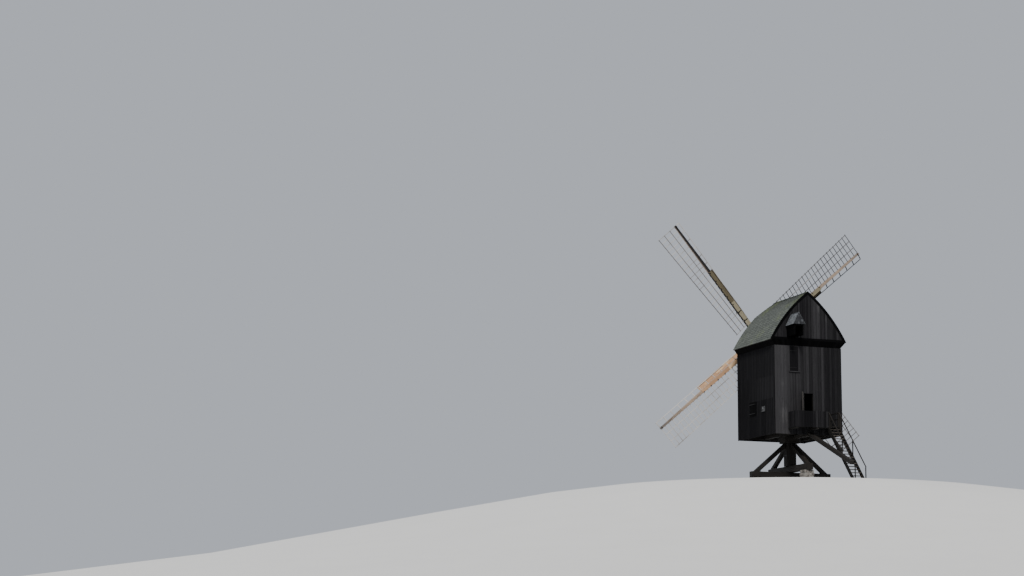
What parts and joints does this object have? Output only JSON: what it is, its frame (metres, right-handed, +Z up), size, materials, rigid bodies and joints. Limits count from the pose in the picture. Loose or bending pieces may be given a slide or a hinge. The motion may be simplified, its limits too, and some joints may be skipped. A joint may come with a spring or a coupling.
{
  "type": "post windmill",
  "caption": "Black boarded post mill: a tall wooden house with a curved roof that turns on a post trestle, with twisted lattice sails, a hoist hood, a rear door, a landing and a stair.",
  "frame": {"origin": "on the ground plane, on the axis of the standing post that the house turns on", "axes": "+Z up along the post; the sails face -Y, the door, landing and stair face +Y; +X is the mill's own left hand as it faces the wind"},
  "size_m": [15.853, 13.8084, 18.8324],
  "materials": {
    "tarred_boards": "vertical boards with weathered black tar",
    "black_trim": "boards with fresh black tar",
    "roof_covering": "weathered grey shingles with some moss",
    "frame_oak": "dark weathered oak",
    "floor_boards": "worn boards",
    "door_wood": "bare weathered boards with ledges",
    "window_wood": "pale painted frame with panes",
    "wrought_iron": "dull dark iron",
    "cast_iron_head": "dark iron with a little rust",
    "sail_timber": "brown weathered timber",
    "sail_lattice": "grey-brown weathered laths",
    "leading_boards": "orange-brown boards",
    "pier_masonry": "rough field stone in mortar"
  },
  "bodies": {
    "trestle": {"footings": "pier_masonry", "piers": "pier_masonry", "lower_cross_beam": "frame_oak", "upper_cross_beam": "frame_oak", "main_post": "frame_oak", "quarter_bars": "frame_oak", "saddle": "frame_oak"},
    "mill_house": {"sills": "frame_oak", "sheers": "frame_oak", "corner_posts": "frame_oak", "wall_plates": "frame_oak", "crown_beam": "frame_oak", "floor_girts": "frame_oak", "lower_floor": "floor_boards", "upper_floor": "floor_boards", "left_wall": "tarred_boards", "right_wall": "tarred_boards", "front_wall": "tarred_boards", "rear_wall_left": "tarred_boards", "rear_wall_right": "tarred_boards", "rear_wall_middle": "tarred_boards", "door_frame": "frame_oak", "hinge_hooks": "wrought_iron", "sack_hatch": "black_trim", "side_windows": "window_wood", "side_shutters": "black_trim", "rear_gable": "tarred_boards", "front_gable": "tarred_boards", "gable_trim": "black_trim", "eaves_skirt": "black_trim", "roof_left": "roof_covering", "roof_right": "roof_covering", "roof_hip": "roof_covering", "ridge_cap": "roof_covering", "hood_cheeks": "black_trim", "hood_roof": "roof_covering", "shaft_beams": "frame_oak", "shaft_bearings": "frame_oak", "landing_deck": "floor_boards", "landing_beams": "frame_oak", "landing_parapet": "tarred_boards", "landing_rail": "frame_oak", "stair_strings": "frame_oak", "stair_treads": "floor_boards", "stair_rails": "frame_oak", "tail_pole": "frame_oak"},
    "door": {"door_leaf": "door_wood"},
    "sails": {"wind_shaft": "frame_oak", "poll_head": "cast_iron_head", "stocks": "sail_timber", "lattice_1": "sail_lattice", "lattice_2": "sail_lattice", "lattice_3": "sail_lattice", "lattice_4": "sail_lattice", "leading_boards_1": "leading_boards", "leading_boards_2": "leading_boards", "leading_boards_3": "leading_boards", "leading_boards_4": "leading_boards"}
  },
  "joints": [
    {"name": "mill_yaw", "type": "hinge", "parent": "trestle", "child": "mill_house", "pos_m": [0, 0, 3.62], "axis": [0, 0, 1], "continuous": true},
    {"name": "door_swing", "type": "hinge", "parent": "mill_house", "child": "door", "pos_m": [0.355, 2.851, 4.5], "axis": [0, 0, 1], "range_deg": [-30, 123.5]},
    {"name": "sail_spin", "type": "hinge", "parent": "mill_house", "child": "sails", "pos_m": [0, -4.285, 10.9], "axis": [0, -0.9986, 0.0523], "continuous": true}
  ]
}
